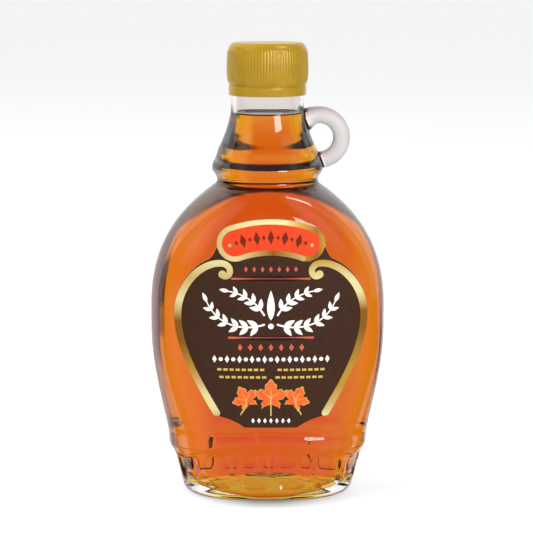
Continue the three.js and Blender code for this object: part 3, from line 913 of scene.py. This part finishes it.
def floor_material():
    material, nodes, links, shader = new_material("pale_floor")
    parts = place_parts(nodes, links)
    across = maths(nodes, links, "DIVIDE", parts["X"], FOOT_W * MM)
    ahead = maths(nodes, links, "DIVIDE", parts["Y"], FOOT_D * MM)
    square = maths(nodes, links, "MULTIPLY", ahead, ahead)
    square = maths(nodes, links, "MULTIPLY_ADD", across, across, square)
    from_middle = maths(nodes, links, "SQRT", square)
    # Painted contact shadow: its strength, highest beside the foot and in the middle of the front.
    near = ranged(nodes, links, from_middle, 1.0 + CONTACT_REACH / FOOT_D, 1.0)
    middle = ranged(nodes, links, maths(nodes, links, "ABSOLUTE", across), *CONTACT_MIDDLE)
    contact_shadow = maths(nodes, links, "MULTIPLY", near, middle)
    shade = noise(nodes, links, 3.0, 2.0)
    greys = [(0.0, (0.34, 0.34, 0.34)), (1.0, (0.36, 0.36, 0.36))]
    pale = ramp(nodes, links, shade.outputs["Fac"], greys)
    left = 1.0 - CONTACT_SHADE
    links.new(tinted(nodes, links, pale, contact_shadow, (left, left, left)), shader.inputs["Base Color"])
    shader.inputs["Roughness"].default_value = 0.9
    shader.inputs["Specular IOR Level"].default_value = 0.1
    shader.inputs["Emission Color"].default_value = (1.0, 1.0, 1.0, 1.0)
    shine = maths(nodes, links, "MULTIPLY_ADD", contact_shadow, -CONTACT_SHADE * FLOOR_GLOW, FLOOR_GLOW)
    links.new(shine, shader.inputs["Emission Strength"])
    return material


# Put together
glass = make_glass()
glass.data.materials.clear()
glass.data.materials.append(glass_material())
syrup = make_syrup()
syrup.data.materials.append(syrup_material())
cap = make_cap()
cap.data.materials.append(cap_material())
label = make_label()
for material in (
        paper_material("print_brown", (0.040, 0.0165, 0.009), (0.049, 0.0215, 0.012)),
        # Gold print whose painted sheen is pale where the foil would catch light and dark where it would
        # be shaded.
        gold_material("print_gold_painted_sheen_right", "Z", (
            (31, PALE_GOLD), (35, WARM_GOLD), (42, MID_GOLD), (48, MID_GOLD), (62, DARK_GOLD),
            (68, DARK_GOLD), (71.5, WARM_GOLD), (75, PALE_GOLD), (79, PALE_GOLD), (84, WARM_GOLD),
            (86.5, MID_GOLD))),
        gold_material("print_gold_painted_sheen_left", "Z", (
            (31, WARM_GOLD), (33.5, PALE_GOLD), (38.5, PALE_GOLD), (43, WARM_GOLD), (47.5, MID_GOLD),
            (57, DARK_GOLD), (64.5, DARK_GOLD), (68.5, WARM_GOLD), (72, PALE_GOLD), (80, WARM_GOLD),
            (87, PALE_GOLD))),
        gold_material("print_gold_painted_sheen_top", "X", (
            (-19, WARM_GOLD), (-8, PALE_GOLD), (6, PALE_GOLD), (11, MID_GOLD), (17, DARK_GOLD),
            (21, MID_GOLD))),
        gold_material("print_gold_painted_sheen_low", "X", (
            (-13, PALE_GOLD), (-6, WARM_GOLD), (2, DARK_GOLD), (14, WARM_GOLD))),
        paper_material("print_gold_fine", (0.46, 0.31, 0.07), (0.62, 0.44, 0.12), 0.4),
        paper_material("print_red", (0.63, 0.050, 0.013), (0.68, 0.060, 0.017)),
        paper_material("print_dark", (0.13, 0.015, 0.006), (0.17, 0.021, 0.008)),
        paper_material("print_rule", (0.50, 0.095, 0.055), (0.56, 0.11, 0.065)),
        paper_material("print_leaf", (0.70, 0.080, 0.018), (0.84, 0.16, 0.035), 0.5, 420.0),
        paper_material("print_cream", (0.84, 0.79, 0.73), (0.90, 0.86, 0.81)),
        paper_material("paper_back", (0.70, 0.66, 0.60), (0.78, 0.74, 0.68), 0.7)):
    label.data.materials.append(material)

for piece, node, slot in (
        (glass, "glass_bottle", "clear_glass"),
        (syrup, "syrup", "amber_syrup"),
        (cap, "cap", "gold_plastic"),
        (label, "label", "printed_paper")):
    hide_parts(node)
    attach(piece, "root")


# Floor, light and camera
FLOOR_SIZE, FLOOR_UNDER = 14.0, -0.0002


def make_floor():
    mesh = bpy.data.meshes.new("floor")
    square = ((-1, -1), (1, -1), (1, 1), (-1, 1))
    corners = [(x * FLOOR_SIZE, y * FLOOR_SIZE, FLOOR_UNDER) for x, y in square]
    mesh.from_pydata(corners, [], [(0, 1, 2, 3)])
    mesh.materials.append(floor_material())
    obj = bpy.data.objects.new("floor", mesh)
    obj.visible_transmission = False
    obj.visible_glossy = False
    bpy.context.scene.collection.objects.link(obj)


def area_light(name, place, target, side, width, height, power, mirrored=True):
    light = bpy.data.lights.new(name, "AREA")
    light.shape = "RECTANGLE"
    light.size, light.size_y = width, height
    light.energy = power
    obj = bpy.data.objects.new(name, light)
    obj.visible_glossy = mirrored
    obj.visible_transmission = False
    obj.location = place
    z = (Vector(place) - Vector(target)).normalized()
    x = (Vector(side) - z * z.dot(Vector(side))).normalized()
    obj.rotation_euler = Matrix((x, z.cross(x), z)).transposed().to_euler()
    bpy.context.scene.collection.objects.link(obj)


# Bright screens round the flask: azimuth of the middle from the back towards +X, half width, soft edge,
# elevation of the middle, half height, soft edge, all in degrees, and brightness.
WORLD_BASE = 0.07
WORLD_TILT = 0.08
WORLD_SCREENS = (
    (-14.75, 50.75, 2, 22, 55, 2.5, 0.91),
    (25, 11, 3, 22, 55, 2.5, 0.12),
    (-46, 20, 6, -6, 27, 6, 0.10),
    (38, 12, 6, -41, 8, 5, 0.12),
    (41, 5, 2, 22, 35.5, 1, 0.91),
    (58, 12, 2, 22, 32.5, 1, 0.40),
    (40, 5, 2, -28, 6, 2, 0.80),
    (-112, 18, 8, 39, 21, 8, 0.50),
    (112, 18, 8, 39, 21, 8, 0.45),
    (-118, 25, 8, -25, 30, 8, 0.22),
    (118, 25, 8, -25, 30, 8, 0.22),
    (180, 40, 15, -5, 25, 10, 0.20),
)
# Warm glow low behind the flask, in the same terms, and its colour.
WARM_PATCH = (-5, 20, 6, -30, 16, 6, 1.0)
WARM_COLOUR = (1.0, 0.68, 0.66)


def along(nodes, links, direction, axis):
    node = nodes.new("ShaderNodeVectorMath")
    node.operation = "DOT_PRODUCT"
    links.new(direction, node.inputs[0])
    node.inputs[1].default_value = axis
    return node.outputs["Value"]


def within(nodes, links, angle, half, soft):
    """1 where an angle is less than half, falling softly to 0 beyond it."""
    node = nodes.new("ShaderNodeMapRange")
    node.interpolation_type = "SMOOTHSTEP"
    node.inputs["From Min"].default_value = math.radians(half - soft)
    node.inputs["From Max"].default_value = math.radians(half + soft)
    node.inputs["To Min"].default_value = 1.0
    node.inputs["To Max"].default_value = 0.0
    links.new(maths(nodes, links, "ABSOLUTE", angle), node.inputs["Value"])
    return node.outputs["Result"]


def screen_share(nodes, links, direction, elevation, screen):
    """How much of a screen a direction meets, from 0 to 1."""
    azimuth, half, soft, level, half_level, soft_level = screen[:6]
    c, s = math.cos(math.radians(azimuth)), math.sin(math.radians(azimuth))
    across = along(nodes, links, direction, (c, -s, 0))
    ahead = along(nodes, links, direction, (s, c, 0))
    turn = within(nodes, links, maths(nodes, links, "ARCTAN2", across, ahead), half, soft)
    rise = maths(nodes, links, "SUBTRACT", elevation, math.radians(level))
    return maths(nodes, links, "MULTIPLY", turn, within(nodes, links, rise, half_level, soft_level))


def make_world():
    world = bpy.data.worlds.new("studio")
    bpy.context.scene.world = world
    world.use_nodes = True
    nodes, links = world.node_tree.nodes, world.node_tree.links
    background = nodes["Background"]
    direction = nodes.new("ShaderNodeTexCoord").outputs["Generated"]
    elevation = maths(nodes, links, "ARCSINE", along(nodes, links, direction, (-WORLD_TILT, 0, 1)))
    total = WORLD_BASE
    for screen in WORLD_SCREENS:
        share = screen_share(nodes, links, direction, elevation, screen)
        total = maths(nodes, links, "MULTIPLY_ADD", share, float(screen[6]), total)
    links.new(total, background.inputs["Strength"])
    warm = screen_share(nodes, links, direction, elevation, WARM_PATCH)
    colour = ramp(nodes, links, warm, [(0.0, (1.0, 1.0, 1.0)), (1.0, WARM_COLOUR)])
    links.new(colour, background.inputs["Color"])


# Camera: distance and height in metres, pitch in degrees, and the focal length and shift in pixels.
CAMERA_AWAY, CAMERA_HIGH, CAMERA_PITCH = 0.660, 0.187, 9.166
PICTURE_PX, FOCAL_PX, SHIFT_PX = 533, 1853.9, (-1.0, 0.49)
SENSOR_WIDTH = 36.0


def make_camera():
    camera = bpy.data.cameras.new("camera")
    camera.sensor_width = SENSOR_WIDTH
    camera.lens = FOCAL_PX / PICTURE_PX * SENSOR_WIDTH
    camera.shift_x = SHIFT_PX[0] / PICTURE_PX
    camera.shift_y = SHIFT_PX[1] / PICTURE_PX
    camera.clip_end = 100.0
    obj = bpy.data.objects.new("camera", camera)
    obj.location = (0.0, -CAMERA_AWAY, CAMERA_HIGH)
    obj.rotation_euler = (math.pi / 2 - math.radians(CAMERA_PITCH), 0.0, 0.0)
    bpy.context.scene.collection.objects.link(obj)
    bpy.context.scene.camera = obj


make_floor()
make_world()
LEVEL = (1, 0, 0)
area_light("key_softbox", (0.47, -0.82, 0.36), (0, 0, 0.12), LEVEL, 0.32, 0.27, 3.2)
area_light("strip", (0.61, -0.307, 1.165), (0, 0, 0.105), (0.398, 0.209, -0.187), 0.49, 0.11, 2.0)
area_light("overhead", (-0.7, 0.1, 1.3), (0, 0, 0.05), LEVEL, 1.2, 1.2, 22.0, False)
area_light("fill", (0.25, -0.95, 0.45), (0, 0, 0.08), LEVEL, 0.7, 0.7, 5.0, False)
make_camera()
bpy.context.scene.view_settings.view_transform = "Standard"
